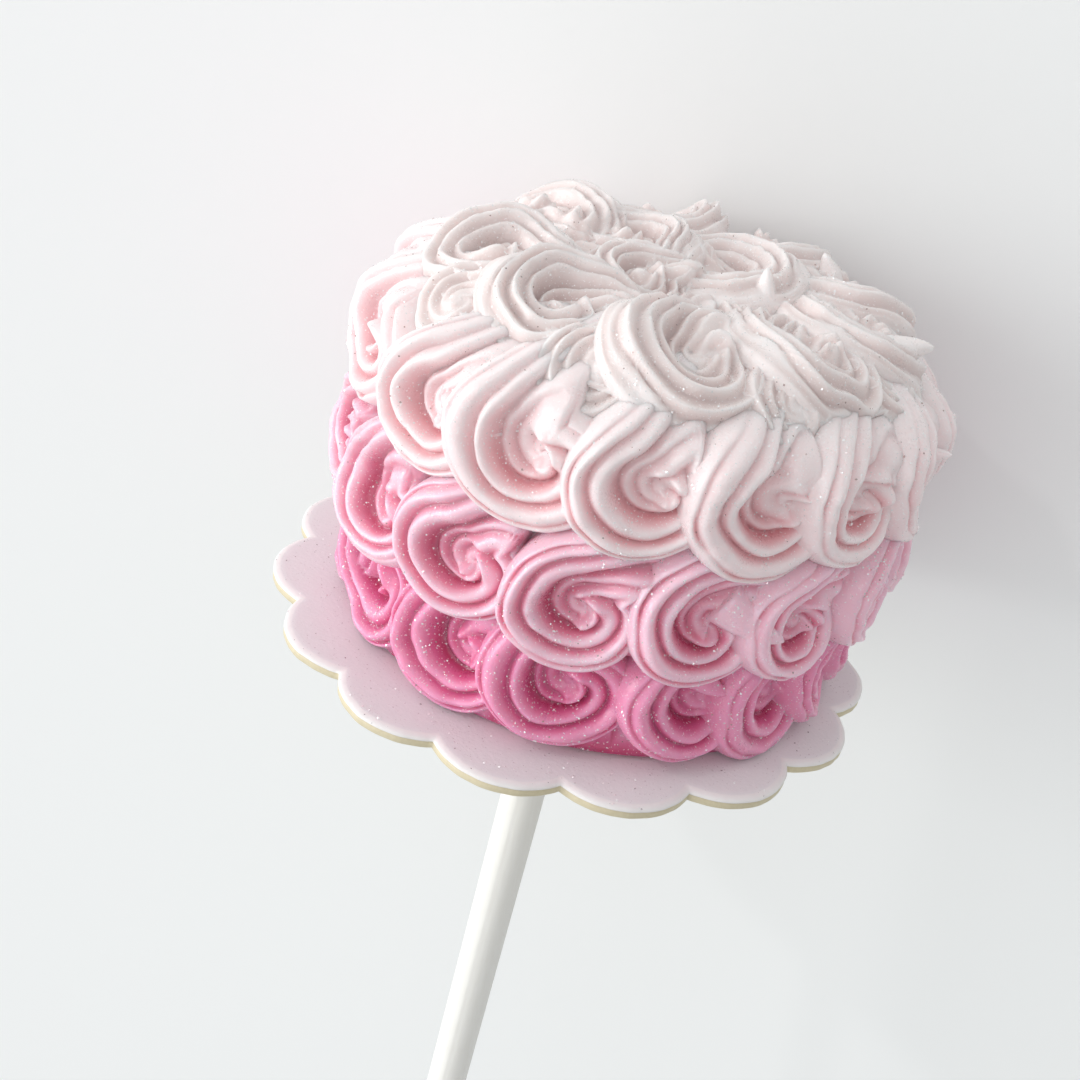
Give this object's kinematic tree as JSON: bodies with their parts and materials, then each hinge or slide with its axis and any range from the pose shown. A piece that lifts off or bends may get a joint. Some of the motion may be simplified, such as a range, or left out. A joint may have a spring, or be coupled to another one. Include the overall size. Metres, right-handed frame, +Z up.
{
  "type": "rosette cake on a stick",
  "caption": "Small round cake covered in piped rosettes that fade from white to deep pink, on a scalloped card disc and a round paper stick, lying on its side.",
  "frame": {"origin": "on the floor, under the middle of the whole object's box", "axes": "+Z up, through the side of the cake that the picture shows; the stick runs towards +Y and rises a little; the cake's white top faces -Y"},
  "size_m": [0.0508, 0.1596, 0.0501],
  "materials": {
    "white_icing": "soft satin buttercream with a fine glitter",
    "pale_pink_icing": "soft satin buttercream with a fine glitter",
    "mid_pink_icing": "soft satin buttercream with a fine glitter",
    "deep_pink_icing": "soft satin buttercream with a fine glitter",
    "card_disc": "pale mauve face with a fine glitter, cream cut edge",
    "paper_stick": "matt white rolled paper"
  },
  "bodies": {
    "root": {"top_icing": "white_icing", "upper_row": "pale_pink_icing", "middle_row": "mid_pink_icing", "bottom_row": "deep_pink_icing", "board": "card_disc", "stick": "paper_stick"}
  },
  "joints": []
}
